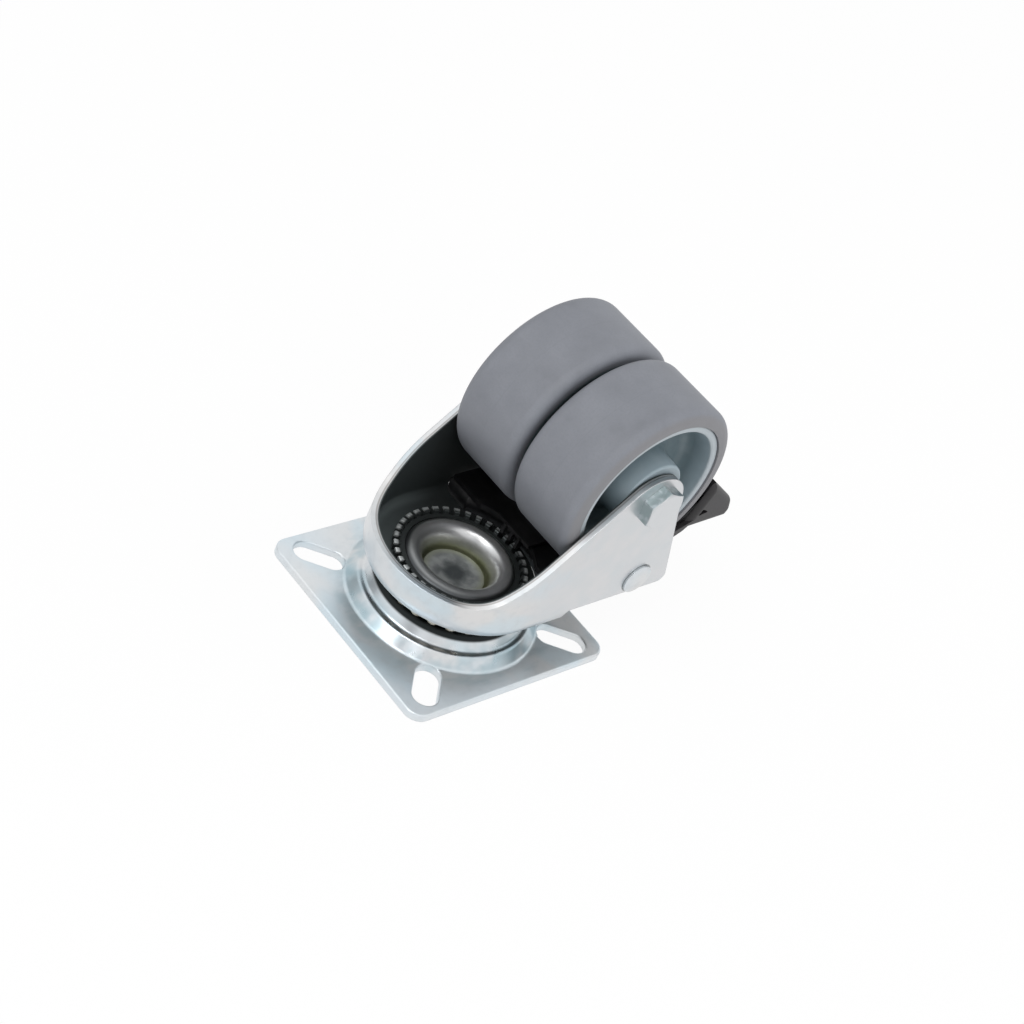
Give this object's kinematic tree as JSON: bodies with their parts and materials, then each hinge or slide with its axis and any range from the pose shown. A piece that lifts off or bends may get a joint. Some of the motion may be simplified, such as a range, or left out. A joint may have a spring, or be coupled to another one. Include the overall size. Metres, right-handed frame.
{
  "type": "twin-wheel swivel castor",
  "caption": "Plate castor with two grey tyred wheels side by side in a pressed steel fork, a swivel head on balls and a pedal that locks wheels and swivel",
  "frame": {"origin": "on the swivel axis, at the plate's mounting face", "axes": "+Z runs from the mounting face to the wheels, +X from the swivel axis to the wheel axle, +Y along the axle to the far wheel"},
  "size_m": [0.0989, 0.0612, 0.0744],
  "materials": {
    "zinc_plated_steel": "bright zinc plating",
    "ball_steel": "polished",
    "rivet_steel": "zinc plating",
    "hub_plastic": "moulded blue-grey plastic",
    "grey_tyre": "matte grey rubber",
    "black_plastic": "black moulded plastic",
    "dark_steel": "blackened spring steel"
  },
  "bodies": {
    "base": {"mounting_plate": "zinc_plated_steel", "swivel_cup": "zinc_plated_steel", "lock_ring": "zinc_plated_steel", "king_rivet": "rivet_steel"},
    "outer_row": {"outer_balls": "ball_steel"},
    "inner_row": {"inner_balls": "ball_steel"},
    "fork_body": {"fork": "zinc_plated_steel", "axle_bolt": "zinc_plated_steel", "axle_nut": "zinc_plated_steel", "axle_sleeve": "rivet_steel", "centre_washer": "rivet_steel", "pivot_rivet": "rivet_steel"},
    "near_wheel": {"hub_near": "hub_plastic", "tyre_near": "grey_tyre"},
    "far_wheel": {"hub_far": "hub_plastic", "tyre_far": "grey_tyre"},
    "brake": {"brake_pedal": "black_plastic", "brake_lever": "dark_steel", "lock_spring": "dark_steel", "lever_rivets": "dark_steel", "detent_spring": "dark_steel"}
  },
  "joints": [
    {"name": "swivel", "type": "hinge", "parent": "base", "child": "fork_body", "pos_m": [0, 0, 0], "axis": [0, 0, 1], "continuous": true},
    {"name": "outer_row_turn", "type": "hinge", "parent": "base", "child": "outer_row", "pos_m": [0, 0, 0], "axis": [0, 0, 1], "continuous": true},
    {"name": "inner_row_turn", "type": "hinge", "parent": "base", "child": "inner_row", "pos_m": [0, 0, 0], "axis": [0, 0, 1], "continuous": true},
    {"name": "near_wheel_spin", "type": "hinge", "parent": "fork_body", "child": "near_wheel", "pos_m": [0.0267, -0.01145, 0.0494], "axis": [0, 1, 0], "continuous": true},
    {"name": "far_wheel_spin", "type": "hinge", "parent": "fork_body", "child": "far_wheel", "pos_m": [0.0267, 0.01145, 0.0494], "axis": [0, 1, 0], "continuous": true},
    {"name": "brake_pedal_press", "type": "hinge", "parent": "fork_body", "child": "brake", "pos_m": [0.03569, 0, 0.0214], "axis": [0, -1, 0], "range_deg": [0, 7.5]}
  ],
  "couplings": [
    {"joint": "outer_row_turn", "follows": "swivel", "ratio": 0.5},
    {"joint": "inner_row_turn", "follows": "swivel", "ratio": 0.5}
  ]
}
